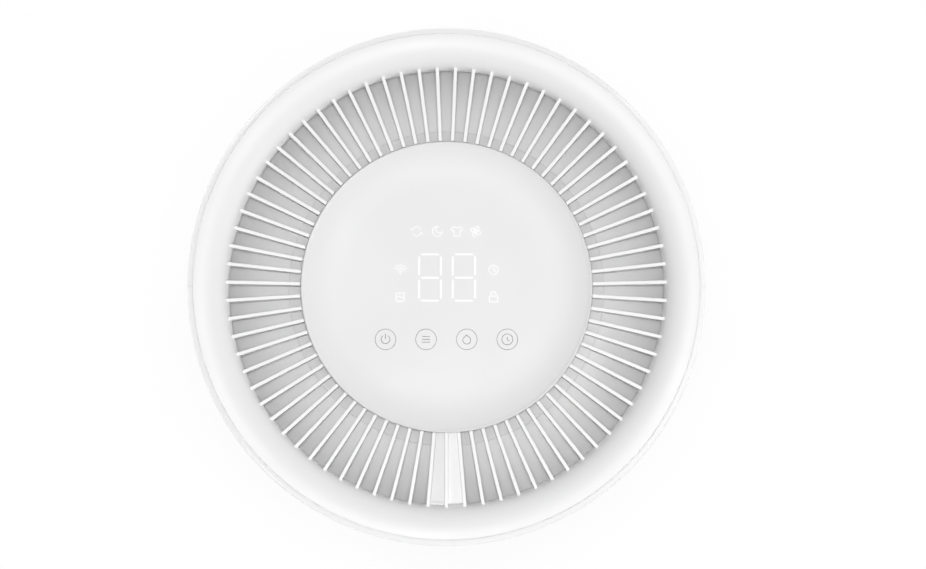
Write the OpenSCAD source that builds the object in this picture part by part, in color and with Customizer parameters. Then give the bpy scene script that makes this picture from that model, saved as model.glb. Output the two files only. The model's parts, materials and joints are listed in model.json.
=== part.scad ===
// Round free-standing room dehumidifier with a ring-shaped outlet round a dished touch panel.
// Millimetres. The floor is z = 0, +Z is up, the body's axis is the Z axis, the front faces -Y.

/* [Body] */
// Outside diameter of the body
body_d = 300; // [296:1:312]
// Wall of the two housing halves
wall = 2.5; // [2:0.1:3]
// Radius of the shoulder under the rim
shoulder_r = 4; // [3.6:0.1:4.4]
// Open seam between the rim and the housing
seam_gap = 0.4; // [0.3:0.05:0.5]
// Open joint between the front and rear shells
half_gap = 0.1; // [0.05:0.05:0.4]
// Clearance between fitted pieces
fit = 0.3; // [0.2:0.05:0.35]
// Thickness of the ledges inside the housing
ledge_t = 3; // [2.5:0.1:3.5]
// Radial width of the ledges inside the housing
ledge_w = 5; // [4:0.1:5.5]
// Width of the foot flange under the lower rear shell
foot_w = 10; // [8:0.1:11]
// Thickness of the foot flange
foot_t = 4; // [3:0.1:5]
// Groove round the joint of the two rear shells
groove = 0.8; // [0.4:0.1:1.2]

/* [Stack] */
// Height from the floor to the caster sockets
caster_h = 34; // [33:1:38]
// Depth of the caster sockets
socket_h = 14; // [12:1:18]
// Thickness of the base, the mid deck and the fan deck
plate_t = 4; // [3:0.1:5]
// Height of the water tank
tank_h = 125; // [118:1:150]
// Free height over the tank
headroom = 5.7; // [5:0.1:8]
// Height of the machine bay
machine_h = 276; // [270:1:300]
// Height from the fan deck to the top of the diffuser cone
fan_h = 101; // [98:1:112]
// Height from the cone to the panel's edge
pedestal_h = 22; // [21:0.5:25]
// Depth of the panel's edge below the crown of the rim
panel_drop = 7; // [6:0.1:8]
// Gap between the plinth and the floor
ground_gap = 10; // [7:1:12]

/* [Outlet] */
// Width of the rim, from the body's side to the lip
rim_w = 23.8; // [23.5:0.1:26]
// Height of the rim's rounding, from the lip to the crown
roll_h = 13; // [12:0.1:14]
// Fullness of the rim's rounding
roll_form = 2.3; // [2:0.1:2.6]
// Wall of the rim
rim_t = 2.5; // [2:0.1:2.8]
// Straight edge at the lip
lip_t = 2; // [1.5:0.1:2.5]
// Height of the band that carries the ribs
band_h = 7; // [6:0.1:7.5]
// Distance of the band behind the lip
band_in = 2; // [1.6:0.1:2.2]
// Number of ribs
rib_count = 75; // [60:1:80]
// Thickness of a rib
rib_t = 2; // [1.6:0.1:2.4]
// Depth of the outer rib tops below the crown
rib_drop = 6.5; // [6:0.1:7.5]
// Fall of the rib tops towards the panel
rib_fall = 1.3; // [0.5:0.1:1.6]
// Height of the cable duct's roof under the crown
boss_drop = 12.5; // [12:0.1:13.5]
// Step from the right half of the cable duct down to its left half
boss_step = 3.5; // [2:0.1:4]
// Height of the channel inside the cable duct
channel_h = 3.5; // [2.5:0.1:3.8]

/* [Panel] */
// Diameter of the control panel
panel_d = 169; // [165:1:172]
// Thickness of the control panel
panel_t = 2.5; // [2:0.1:2.8]
// Depth of the dish
dish = 4.2; // [3.6:0.1:4.6]
// Diameter of the flat middle of the dish
flat_d = 116; // [112:1:122]
// Outside diameter of the hub that carries the panel
hub_d = 160; // [158:0.5:161]
// Wall of the hub
hub_t = 4; // [3:0.1:4.5]
// Diameter of the step below the panel
step_d = 184; // [180:1:187]
// Thickness of the step's flange
step_t = 2; // [1.5:0.1:2.5]
// Thickness of the circuit boards
board_t = 1.6; // [1.2:0.1:2]
// Spacing of the touch buttons
button_pitch = 23.6; // [22:0.1:25]
// Distance of the buttons in front of the middle
button_y = 30.4; // [28:0.1:33]
// Diameter of a touch pad
pad_d = 11; // [9:0.1:12]

/* [Fan] */
// Distance of the diffuser cone's edge inside the body's side
cone_in = 19; // [17:0.5:21]
// Distance of the cone's struts inside its edge
strut_in = 19; // [18:0.5:21]
// Width of a strut
strut_w = 10; // [8:0.5:11]
// Wall of the diffuser cone
cone_t = 2.5; // [2:0.1:3]
// Distance of the outlet duct's bore inside the body's side
duct_in = 9; // [8.5:0.1:10.5]
// Wall of the outlet duct
duct_t = 2; // [1.6:0.1:2.4]
// Clearance between the impeller and the struts
impeller_gap = 12; // [9:0.5:17]
// Height of the impeller
impeller_h = 50; // [46:1:52]
// Number of blades
blade_count = 11; // [7:1:13]
// Thickness of a blade
blade_t = 1.8; // [1.4:0.1:2.4]
// Diameter of the impeller's inlet
inlet_d = 124; // [118:1:128]
// Diameter of the motor
motor_d = 84; // [70:1:92]
// Height of the motor
motor_h = 30; // [26:1:32]
// Diameter of the motor shaft
shaft_d = 8; // [6:0.5:9]
// Running clearance of turning pieces
turn_gap = 0.05; // [0.03:0.01:0.08]

/* [Intake] */
// Half angle of the rear window
window_a = 40; // [37:0.5:42]
// Height of the window's sill over the deck
sill_h = 36; // [34:1:44]
// Depth of the window's head under the fan deck
head_h = 16; // [14:1:24]
// Margin above and below the intake slots
slot_margin = 9; // [7:0.5:11]
// Height of the bar between the slot rows
slot_bar = 8; // [6:0.5:10]
// Angle between the intake slots
slot_pitch = 2.8; // [2.7:0.1:3.2]
// Width of an intake slot
slot_w = 3.8; // [3:0.1:4.4]
// Thickness of the filter frame
filter_t = 3; // [2.5:0.1:3.2]
// Height of the filter frame's bars
filter_bar = 7; // [5:0.5:9]
// Distance of the filter frame inside the window
filter_in = 6; // [5.5:0.1:7]

/* [Cooling] */
// Width of the coils between their end plates
coil_w = 156; // [150:1:158]
// Depth of each coil
coil_t = 25; // [22:0.5:25.5]
// Distance of the coils' rear corners inside the body's side
coil_gap = 6.5; // [6:0.1:8]
// Gap between the two coils
coil_split = 5; // [4.5:0.1:8]
// Number of fins on each coil
fin_count = 27; // [15:1:32]
// Thickness of a fin
fin_t = 0.6; // [0.4:0.1:0.8]
// Diameter of the coil tubes
tube_d = 8; // [7:0.1:9]
// Number of tube rows
row_count = 10; // [8:2:10]
// Diameter of the compressor
can_d = 100; // [90:1:106]
// Height of the compressor
can_h = 165; // [150:1:172]
// Wall of the compressor can together with the works inside it
can_t = 12; // [8:0.5:16]
// Radius of the compressor's foot ends
foot_pad = 12; // [11:0.5:13]
// Diameter of the accumulator
flask_d = 44; // [38:1:46]
// Height of the accumulator
flask_h = 92; // [80:1:100]
// Height of the accumulator over the compressor's foot
flask_lift = 34; // [30:1:40]

/* [Tank] */
// Width of the tank
tank_w = 256; // [246:1:260]
// Distance of the tank's back behind the middle
tank_back = 60; // [54:1:60]
// Length of the float's arm
arm_l = 62; // [56:1:66]
// Width of the float
float_w = 52; // [44:1:56]
// Length of the float
float_l = 36; // [32:1:40]
// Height of the float
float_h = 18; // [15:0.5:20]
// Wall of the tank
tank_t = 2.5; // [2:0.1:3]
// Floor of the water tank
tank_floor = 1.8; // [1.5:0.1:2.5]
// Thickness of the tank's front
skin_t = 3.5; // [3:0.1:4]
// Gap round the tank's front
skin_gap = 1; // [0.8:0.1:1.2]
// Width of the finger recess
recess_w = 90; // [80:1:100]
// Height of the finger recess
recess_h = 40; // [34:1:44]
// Depth of the finger recess
recess_depth = 26; // [22:1:30]

/* [Casters] */
// Diameter of a wheel
wheel_d = 28; // [25:0.5:28.5]
// Width of a wheel
wheel_w = 14; // [12:0.5:15]
// Trail of a caster
trail = 10; // [8:0.5:12]
// Diameter of a caster stem
stem_d = 8; // [7:0.5:9]
// Diameter of a caster axle
axle_d = 4; // [3:0.5:5]
// Distance of the caster stems inside the body's side
caster_in = 45; // [43:1:52]

/* [Connections] */
// Diameter of the drain spigot
spigot_d = 10; // [9:0.5:11]
// Diameter of the hole in the cord gland
cord_d = 7.2; // [6:0.1:8]
// Width of a hand grip
grip_w = 90; // [80:1:100]
// Height of a hand grip
grip_h = 40; // [34:1:42]
// Depth of a hand grip
grip_depth = 28; // [24:1:30]
// Width of the control box
box_w = 126; // [118:1:130]
// Height of the control box
box_h = 105; // [98:1:112]
// Wall of the control box
box_t = 2.5; // [2:0.1:3]
// Distance of the control box's rear corners inside the shell
box_gap = 15; // [13:0.5:19]
// Wall of the moulded cups
cup_t = 2.5; // [2:0.1:3]

/* [Hidden] */
$fn = 120;
body_r = body_d / 2;
shell_r = body_r - wall;
disc_r = shell_r - fit;
ledge_r = shell_r - ledge_w;
foot_r = body_r - foot_w;
z_socket = caster_h;
z_plate = z_socket + socket_h;
z_base = z_plate + plate_t;
z_tank = z_base + fit;
tank_top = z_tank + tank_h;
z_ledge = tank_top + headroom;
z_deck = z_ledge + ledge_t;
z_bay = z_deck + plate_t;
z_fan = z_bay + machine_h;
z_blow = z_fan + plate_t;
z_cone = z_blow + fan_h;
z_edge = z_cone + pedestal_h;
z_crown = z_edge + panel_drop;
z_shoulder = z_crown - shoulder_r;
crown_r = body_r - shoulder_r;
seam_a = 9.5;
rim_a = seam_a - asin(seam_gap / shoulder_r);
lip_r = body_r - rim_w;
roll_w = crown_r - lip_r;
z_lip = z_crown - roll_h;
z_band = z_lip - lip_t;
z_seat = z_band - band_h;
panel_r = panel_d / 2;
flat_r = flat_d / 2;
z_flat = z_edge - dish;
hub_r = hub_d / 2;
hub_in = hub_r - hub_t;
step_r = step_d / 2;
z_step = z_cone + step_t;
cone_r = body_r - cone_in;
strut_r = cone_r - strut_in;
cone_top_r = step_r - 3;
duct_r = body_r - duct_in;
impeller_r = strut_r - impeller_gap;
inlet_r = inlet_d / 2;
motor_r = motor_d / 2;
shaft_r = shaft_d / 2;
motor_z = z_cone - cone_t - motor_h;
back_z = motor_z - 8.5;
inlet_z = back_z - impeller_h;
window_z0 = z_bay + sill_h;
window_z1 = z_fan - head_h;
filter_r = shell_r - fit;
tray_z = z_bay + 10.5;
coil_z0 = tray_z + 3.5;
coil_z1 = z_fan - 11;
coil_x = coil_w / 2;
plate_x = coil_x + 1.5;
tube_r = tube_d / 2;
row_pitch = (coil_z1 - coil_z0) / row_count;
top_row = coil_z1 - row_pitch / 2;
low_row = coil_z0 + row_pitch / 2;
tray_top = low_row - tube_r - 1;
stub_x = plate_x + 9;
evap_y = floor(2 * sqrt(pow(body_r - coil_gap, 2) - pow(stub_x, 2)) - coil_t) / 2;
cond_y = evap_y - coil_t - coil_split;
tray_front = cond_y - coil_t / 2 - 4;
tray_back = evap_y + coil_t / 2 + 4;
spout_y = tray_front - 9;
can_r = can_d / 2;
foot_ring = can_r + 18;
can_y = tray_front - 19 - foot_pad - foot_ring;
can_z = z_bay + 13;
can_top = can_z + can_h;
flask_r = flask_d / 2;
flask_x = -(can_r + flask_r + 2);
skin_r = body_r - skin_t;
bucket_r = skin_r - fit;
base_r = skin_r - 0.5;
skin_z0 = z_plate - foot_t;
skin_z1 = z_ledge - skin_gap;
bay_y = tank_back + 2;
box_y = bay_y + 10.5;
box_back = floor(2 * sqrt(pow(shell_r - box_gap, 2) - pow(box_w / 2, 2))) / 2;
recess_z0 = tank_top - 19 - recess_h;
pivot_y = tank_back - tank_t - 9.5;
pivot_z = z_tank + 0.7 * tank_h;
axle_z = wheel_d / 2;
caster_ring = body_r - caster_in;
caster_x = caster_ring * sqrt(0.5);
drain_z = z_bay + 15;
cup_r = 14.7;
gland_z = z_base + 30;
grip_z = z_fan - 11 - grip_h;
button_x = [-1.5 * button_pitch, -0.5 * button_pitch, 0.5 * button_pitch, 1.5 * button_pitch];
screw_a = [18, 62, 118, 162];
caster_spots = [[-1, -1], [1, -1], [-1, 1], [1, 1]];

// Curves
function rim_x(t) = crown_r - roll_w * pow(sin(t), 2 / roll_form);
function rim_z(t) = z_lip + roll_h * pow(cos(t), 2 / roll_form);
function inner_x(t) = crown_r - (roll_w - rim_t) * pow(sin(t), 2 / roll_form);
function inner_z(t) = z_lip + (roll_h - rim_t) * pow(cos(t), 2 / roll_form);
function rim_at(z) = crown_r - roll_w * pow(1 - pow((z - z_lip) / roll_h, roll_form), 1 / roll_form);
function dish_z(r) = r <= flat_r ? z_flat : z_flat + dish * pow((r - flat_r) / (panel_r - flat_r), 2.5);
function cone_fall(x) = 0.18 * x + 0.0051 * pow(x, 2);
function cone_z(r) = r <= cone_top_r ? z_cone : z_cone - cone_fall(r - cone_top_r);
function row_z(i) = coil_z0 + (i + 0.5) * row_pitch;
function unit(v) = v / norm(v);

// Building blocks
module ring(r0, r1, z0, z1) {
    rotate_extrude() translate([r0, z0]) square([r1 - r0, z1 - z0]);
}

module disc(r, z0, z1) {
    translate([0, 0, z0]) cylinder(r = r, h = z1 - z0);
}

module sector(r0, r1, z0, z1, middle, half) {
    rotate([0, 0, middle - half]) rotate_extrude(angle = 2 * half)
        translate([r0, z0]) square([r1 - r0, z1 - z0]);
}

module box(x0, x1, y0, y1, z0, z1) {
    translate([x0, y0, z0]) cube([x1 - x0, y1 - y0, z1 - z0]);
}

module post(x, y, r, z0, z1) {
    translate([x, y, z0]) cylinder(r = r, h = z1 - z0);
}

module rod_x(y, z, r, x0, x1) {
    translate([x0, y, z]) rotate([0, 90, 0]) cylinder(r = r, h = x1 - x0);
}

module rod_y(x, z, r, y0, y1) {
    translate([x, y0, z]) rotate([-90, 0, 0]) cylinder(r = r, h = y1 - y0);
}

module span(a, b, r) {
    d = unit(b - a);
    translate(a) rotate([0, acos(d[2]), atan2(d[1], d[0])]) cylinder(r = r, h = norm(b - a));
}

module elbow(p, u, v, r, bend) {
    c = p - bend * u + bend * v;
    w = cross(u, v);
    rows = [for (k = [0 : 2]) [-v[k], u[k], w[k], c[k]]];
    multmatrix(concat(rows, [[0, 0, 0, 1]]))
        rotate_extrude(angle = 90) translate([bend, 0]) circle(r = r);
}

// Round pipe along a path of square corners
module pipe(path, r, bend) {
    last = len(path) - 1;
    for (i = [0 : last - 1]) {
        d = unit(path[i + 1] - path[i]);
        span(path[i] + (i == 0 ? 0 : bend) * d, path[i + 1] - (i + 1 == last ? 0 : bend) * d, r);
    }
    for (i = [1 : last - 1])
        elbow(path[i], unit(path[i] - path[i - 1]), unit(path[i + 1] - path[i]), r, bend);
}

// Rim round the outlet, hollow underneath, standing on a skirt
module top_ring() {
    outer = [for (a = [rim_a : -rim_a / 5 : -0.01])
        [crown_r + shoulder_r * sin(a), z_shoulder + shoulder_r * cos(a)]];
    roll = [for (t = [5 : 5 : 90]) [rim_x(t), rim_z(t)]];
    under = [for (t = [90 : -6 : 1]) [inner_x(t), inner_z(t)]];
    end = shoulder_r - rim_t;
    inner = [for (a = [0 : rim_a / 3 : rim_a + 0.01]) [crown_r + end * sin(a), z_shoulder + end * cos(a)]];
    color([0.95, 0.95, 0.95]) union() {
        rotate_extrude()
            polygon(concat(outer, roll, [[lip_r, z_band], [lip_r + rim_t, z_band]], under, inner));
        ring(crown_r - rim_t, crown_r, z_seat, z_crown - rim_t / 2);
    }
}

module rib() {
    top = z_crown - rib_drop;
    foot = z_seat + fit;
    hub_top = dish_z(hub_in) - panel_t - fit;
    tongue = z_band - fit;
    steps = [for (k = [4 : -1 : 0]) z_lip + k * (top - z_lip) / 4];
    edge = [for (z = steps) [rim_at(z) - fit, z]];
    root = lip_r + band_in + 1.8;
    outer = [[lip_r - fit, tongue], [root, tongue], [root, foot]];
    rotate([90, 0, 0]) translate([0, 0, -rib_t / 2]) linear_extrude(rib_t)
        polygon(concat([[hub_r - 1, foot], [hub_r - 1, hub_top], [panel_r + fit, hub_top],
            [panel_r + fit, top - rib_fall]], edge, outer));
}

// Radial ribs between the hub and the band, with the cable duct at the front
module outlet_grille() {
    pitch = 360 / rib_count;
    roof = min(z_crown - boss_drop, dish_z(hub_in) - panel_t - 2 * fit);
    color([0.97, 0.97, 0.97]) difference() {
        union() {
            ring(hub_in, hub_r, z_seat, dish_z(hub_in) - panel_t);
            ring(lip_r + band_in, lip_r + 5.6, z_seat, z_band);
            for (i = [0 : rib_count - 1])
                rotate([0, 0, -90 + i * pitch]) rib();
            sector(hub_r - 1.5, lip_r - 2 * fit, z_seat + 2 * fit, roof, -90 + pitch / 2, pitch / 2);
            sector(hub_r - 1.5, lip_r - 2 * fit, z_seat + 2 * fit, roof - boss_step,
                -90 - pitch / 2, pitch / 2 + 0.1);
            sector(lip_r - 2 * fit - 1, lip_r + band_in + 2.3, z_seat + 2 * fit, z_band - 2 * fit, -90, pitch);
        }
        sector(hub_in - 1, lip_r + 4, z_seat - 1, z_seat + channel_h, -90, pitch * 0.7);
    }
}

// Touch panel, flat in the middle and raised towards its edge
module control_panel() {
    radii = [for (k = [0 : 12]) flat_r + k * (panel_r - flat_r) / 12];
    top = [for (r = radii) [r < panel_r ? r : r - 0.6, dish_z(r)]];
    under = [for (k = [12 : -1 : 0]) [radii[k], dish_z(radii[k]) - panel_t]];
    color([0.94, 0.94, 0.94]) union() {
        rotate_extrude()
            polygon(concat([[0, z_flat]], top, [[panel_r, z_edge - 0.6]], under, [[0, z_flat - panel_t]]));
        ring(hub_in - 4, hub_in - 1, z_seat + 3, dish_z(hub_in - 4) - panel_t / 2);
    }
}

module display_board() {
    color([0.1, 0.35, 0.2]) disc(hub_in - 6, z_seat, z_seat + board_t);
}

// Block with a light window for every segment and symbol of the display
module light_guide() {
    z0 = z_seat + board_t;
    z1 = z_flat - panel_t - fit;
    color([0.2, 0.2, 0.22]) difference() {
        box(-34, 34, -14, 40, z0, z1);
        for (x = [-9.8, 9.9]) {
            for (y = [-7.9, 5.45, 18.8])
                box(x - 5, x + 5, y - 0.8, y + 0.8, z0 - 1, z1 + 1);
            for (sx = [-1, 1], sy = [-1, 1])
                translate([x + sx * 6.4, 5.45 + sy * 6.7, 0]) box(-0.8, 0.8, -5, 5, z0 - 1, z1 + 1);
        }
        for (x = [-17.3, -5.4, 6.2, 16.9])
            post(x, 32.7, 4, z0 - 1, z1 + 1);
        for (x = [-26.6, 27.2], y = [-5.9, 10.1])
            post(x, y, 4, z0 - 1, z1 + 1);
    }
}

module touch_pads() {
    color([0.25, 0.25, 0.27])
        for (x = button_x)
            post(x, -button_y, pad_d / 2, z_seat + board_t, z_flat - panel_t - fit);
}

// Step below the panel, carrying the hub and the board
module panel_pedestal() {
    color([0.9, 0.9, 0.91]) union() {
        disc(step_r, z_cone, z_step);
        ring(hub_in + 0.4, hub_r - 0.4, z_step - 0.5, z_seat);
        for (x = [-44, 44], y = [-44, 44])
            post(x, y, 3.5, z_step - 0.5, z_seat);
    }
}

// Sloped floor of the outlet, closed on top and standing on struts
module diffuser_cone() {
    radii = [for (k = [0 : 12]) cone_top_r + k * (cone_r - cone_top_r) / 12];
    top = [for (r = radii) [r, cone_z(r)]];
    under = [for (k = [12 : -1 : 0]) [radii[k], cone_z(radii[k]) - cone_t]];
    color([0.86, 0.87, 0.88]) union() {
        rotate_extrude() polygon(concat([[0, z_cone]], top, under, [[0, z_cone - cone_t]]));
        for (i = [0 : 5])
            rotate([0, 0, 30 + 60 * i]) rotate([90, 0, 0]) translate([0, 0, -2.5]) linear_extrude(5)
                polygon([[strut_r, z_blow], [strut_r + strut_w, z_blow],
                    [strut_r + strut_w, cone_z(strut_r + strut_w) - 1], [strut_r, cone_z(strut_r) - 1]]);
    }
}

module fan_motor() {
    color([0.3, 0.3, 0.32]) difference() {
        union() {
            disc(motor_r, motor_z, z_cone - cone_t);
            disc(15, motor_z - 4, motor_z + 1);
        }
        disc(shaft_r + turn_gap, motor_z - 5, motor_z + 22);
    }
}

module motor_shaft() {
    color([0.75, 0.75, 0.77]) disc(shaft_r, back_z - 25, motor_z + 21);
}

module blade() {
    r0 = inlet_r + 4;
    r1 = impeller_r - 1;
    lead = [for (k = [0 : 6]) let (r = r0 + k * (r1 - r0) / 6, a = -38 * k / 6) [r * cos(a), r * sin(a)]];
    side = asin(blade_t / r0);
    tail = [for (k = [6 : -1 : 0])
        let (r = r0 + k * (r1 - r0) / 6, a = side - 38 * k / 6) [r * cos(a), r * sin(a)]];
    translate([0, 0, inlet_z + 5]) linear_extrude(impeller_h - 6) polygon(concat(lead, tail));
}

// Backward-curved wheel with a closed top and an inlet collar below
module impeller() {
    color([0.8, 0.82, 0.84]) difference() {
        union() {
            disc(impeller_r, back_z - 3, back_z);
            disc(14, back_z - 22, back_z - 1);
            ring(inlet_r, impeller_r, inlet_z + 4, inlet_z + 6.5);
            ring(inlet_r, inlet_r + 2.5, inlet_z, inlet_z + 5);
            for (i = [0 : blade_count - 1])
                rotate([0, 0, i * 360 / blade_count]) blade();
        }
        disc(shaft_r + 0.01, back_z - 40, back_z + 1);
    }
}

module impeller_nut() {
    color([0.8, 0.7, 0.35]) difference() {
        translate([0, 0, back_z - 28]) cylinder(r = shaft_r + 4.5, h = 6, $fn = 6);
        disc(shaft_r + 0.01, back_z - 25.5, back_z - 21);
    }
}

module outlet_duct() {
    color([0.88, 0.89, 0.9]) union() {
        ring(duct_r, duct_r + duct_t, z_blow, z_seat);
        ring(duct_r, disc_r - 0.5, z_seat - 3, z_seat);
    }
}

// Deck with the bellmouth that feeds the impeller
module fan_deck() {
    mouth = inlet_r - 2;
    color([0.82, 0.83, 0.85]) union() {
        ring(mouth - 2.5, disc_r, z_fan, z_blow);
        ring(mouth - 2.5, mouth, z_blow - 1, inlet_z + 4);
    }
}

module housing_half(turn) {
    end = shoulder_r - wall;
    outer = [for (a = [90 : -(90 - seam_a) / 8 : seam_a - 0.01])
        [crown_r + shoulder_r * sin(a), z_shoulder + shoulder_r * cos(a)]];
    inner = [for (a = [seam_a : (90 - seam_a) / 5 : 90.01])
        [crown_r + end * sin(a), z_shoulder + end * cos(a)]];
    fan_step = [[shell_r, z_fan], [ledge_r, z_fan], [ledge_r, z_fan - ledge_t], [shell_r, z_fan - ledge_t]];
    deck_step = [[shell_r, z_deck], [ledge_r, z_deck], [ledge_r, z_ledge]];
    half = 90 - asin(half_gap / 2 / body_r);
    rotate([0, 0, turn - half]) rotate_extrude(angle = 2 * half)
        polygon(concat([[body_r, z_ledge]], outer, inner, fan_step, deck_step));
}

module grip_openings() {
    for (s = [-1, 1])
        translate([s * (body_r - grip_depth / 2), 0, grip_z + grip_h / 2])
            cube([grip_depth + 2, grip_w + 2 * fit, grip_h + 2 * fit], center = true);
}

module front_housing() {
    color([0.95, 0.95, 0.95]) difference() {
        housing_half(-90);
        grip_openings();
    }
}

// Rear half with the intake window and the drain opening
module rear_housing() {
    inset = 2;
    z0 = window_z0 - 3.5;
    z1 = window_z1 + 3.5;
    color([0.95, 0.95, 0.95]) difference() {
        union() {
            difference() {
                housing_half(90);
                sector(ledge_r - 4, body_r + 5, window_z0, window_z1, 90, window_a);
            }
            difference() {
                sector(shell_r - fit - 2.4, shell_r - fit, z0, z1, 90, window_a + 1.5);
                sector(shell_r - 9, shell_r + 3, window_z0 + 5, window_z1 - 5, 90, window_a - inset);
            }
            difference() {
                sector(shell_r - fit - 0.5, shell_r + 0.5, z0, z1, 90, window_a + 1.5);
                sector(shell_r - 9, shell_r + 3, window_z0, window_z1, 90, window_a);
            }
        }
        grip_openings();
        rod_y(0, drain_z, cup_r + fit, body_r - 25, body_r + 5);
    }
}

// Lower rear shell with the foot flange screwed under the base
module lower_shell() {
    half = 90 - asin(half_gap / 2 / body_r);
    z0 = z_plate - foot_t;
    color([0.95, 0.95, 0.95]) difference() {
        union() {
            rotate([0, 0, 90 - half]) rotate_extrude(angle = 2 * half)
                polygon([[shell_r, z0], [body_r, z0], [body_r, z_ledge - groove], [body_r - groove, z_ledge],
                    [shell_r, z_ledge]]);
            sector(foot_r, shell_r + 1, z0 + 0.02, z_plate, 90, 76);
        }
        rod_y(0, gland_z, 8 + fit, body_r - 25, body_r + 5);
        for (a = screw_a)
            rotate([0, 0, a]) post(base_r - 3.5, 0, 1.8, z0 - 1, z_plate + 1);
    }
}

// Removable rear cover with upright slots
module intake_grille() {
    rows = 2;
    tall = (window_z1 - window_z0 - 2 * slot_margin - (rows - 1) * slot_bar) / rows;
    count = floor((window_a - 5) / slot_pitch);
    color([0.93, 0.93, 0.94]) difference() {
        sector(shell_r, body_r, window_z0 + 0.5, window_z1 - 0.5, 90, window_a - 0.2);
        for (row = [0 : rows - 1], k = [-count : count])
            rotate([0, 0, 90 + k * slot_pitch])
                translate([shell_r - 3, -slot_w / 2, window_z0 + slot_margin + row * (tall + slot_bar)])
                    cube([wall + 8, slot_w, tall]);
    }
}

module filter_frame() {
    half = window_a - 2.4;
    z0 = window_z0 + filter_in;
    z1 = window_z1 - filter_in;
    color([0.25, 0.26, 0.28]) difference() {
        sector(filter_r - filter_t, filter_r, z0, z1, 90, half);
        for (k = [-1, 0, 1])
            sector(filter_r - filter_t - 3, filter_r + 3, z0 + filter_bar, z1 - filter_bar,
                90 + k * half * 0.64, half * 0.3);
    }
}

module filter_mesh() {
    half = window_a - 2.4;
    middle = filter_r - filter_t / 2;
    edge = filter_in + filter_bar + 0.1;
    color([0.35, 0.37, 0.4])
        for (k = [-1, 0, 1])
            sector(middle - 0.3, middle + 0.3, window_z0 + edge, window_z1 - edge,
                90 + k * half * 0.64, half * 0.3 - 0.05);
}

// Two finger cups let into the sides
module hand_grips() {
    back = body_r - grip_depth;
    color([0.9, 0.9, 0.91])
        for (s = [0, 180])
            rotate([0, 0, s]) difference() {
                intersection() {
                    box(back, body_r, -grip_w / 2, grip_w / 2, grip_z, grip_z + grip_h);
                    disc(body_r - 0.1, grip_z - 1, grip_z + grip_h + 1);
                }
                box(back + cup_t, body_r + 5, cup_t - grip_w / 2, grip_w / 2 - cup_t,
                    grip_z + cup_t, grip_z + grip_h - cup_t);
            }
}

// Base plate with the plinth ring and the caster sockets
module base_tray() {
    skirt = foot_r - 0.5;
    color([0.35, 0.36, 0.38]) difference() {
        union() {
            disc(base_r, z_plate, z_base);
            ring(skirt - 3.5, skirt, ground_gap, z_plate + 1);
            for (s = caster_spots) {
                post(s[0] * caster_x, s[1] * caster_x, stem_d / 2 + 5, z_socket, z_plate + 1);
                rotate([0, 0, atan2(s[1], s[0])])
                    box(caster_ring + stem_d / 2 + 3, skirt - 1, -1.5, 1.5, z_plate - 7, z_plate + 1);
            }
        }
        for (s = caster_spots)
            post(s[0] * caster_x, s[1] * caster_x, stem_d / 2 + turn_gap, z_socket - 1, z_base - 1);
        for (a = screw_a)
            rotate([0, 0, a]) post(base_r - 3.5, 0, 1.52, z_plate - 1, z_base - 0.8);
    }
}

module base_screws() {
    color([0.7, 0.7, 0.72])
        for (a = screw_a)
            rotate([0, 0, a]) {
                post(base_r - 3.5, 0, 1.5, z_plate - foot_t - 1, z_base - 1);
                difference() {
                    post(base_r - 3.5, 0, 3, z_plate - foot_t - 2.2, z_plate - foot_t);
                    translate([base_r - 3.5, 0, z_plate - foot_t - 1.6]) cube([4, 0.8, 1.4], center = true);
                }
            }
}

// Swivel fork with its axle, trailing to the rear
module caster_fork(spot) {
    half = wheel_w / 2 + 0.4;
    top = z_socket - fit;
    color([0.3, 0.31, 0.33]) translate([spot[0] * caster_x, spot[1] * caster_x, 0]) union() {
        disc(stem_d / 2, top - 1, z_base - 1.3);
        disc(11, top - 3, top);
        for (x = [-half - 2, half])
            translate([x, 0, 0]) rotate([90, 0, 90]) linear_extrude(2)
                polygon([[-7, top - 2], [-7, top - 6], [trail - 5, axle_z - 5], [trail + 4, axle_z - 5],
                    [trail + 5, axle_z + 3], [7, top - 2]]);
        rod_x(trail, axle_z, axle_d / 2, -half - 2.8, half + 2.8);
    }
}

module caster_wheel(spot) {
    r = wheel_d / 2;
    w = wheel_w / 2;
    translate([spot[0] * caster_x, spot[1] * caster_x + trail, axle_z])
        color([0.22, 0.22, 0.24]) rotate([0, 90, 0]) rotate_extrude()
            polygon([[axle_d / 2 + turn_gap, -w], [r - 7, -w], [r - 6.5, 1 - w], [r - 3, 1 - w],
                [r - 2.5, -w], [r - 1, -w], [r, 1 - w], [r, w - 1], [r - 1, w], [r - 2.5, w],
                [r - 3, w - 1], [r - 6.5, w - 1], [r - 7, w],
                [axle_d / 2 + turn_gap, w]]);
}

module fork_front_left() { caster_fork(caster_spots[0]); }
module fork_front_right() { caster_fork(caster_spots[1]); }
module fork_rear_left() { caster_fork(caster_spots[2]); }
module fork_rear_right() { caster_fork(caster_spots[3]); }
module wheel_front_left() { caster_wheel(caster_spots[0]); }
module wheel_front_right() { caster_wheel(caster_spots[1]); }
module wheel_rear_left() { caster_wheel(caster_spots[2]); }
module wheel_rear_right() { caster_wheel(caster_spots[3]); }

module tank_plan(inset, z0, z1) {
    intersection() {
        disc(bucket_r - inset, z0, z1);
        box(inset - tank_w / 2, tank_w / 2 - inset, -body_r, tank_back - inset, z0, z1);
    }
}

module recess_block(grow, back) {
    box(-recess_w / 2 - grow, recess_w / 2 + grow, -body_r - 5, back + grow - body_r + recess_depth,
        recess_z0 - grow, recess_z0 + recess_h + grow);
}

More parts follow.
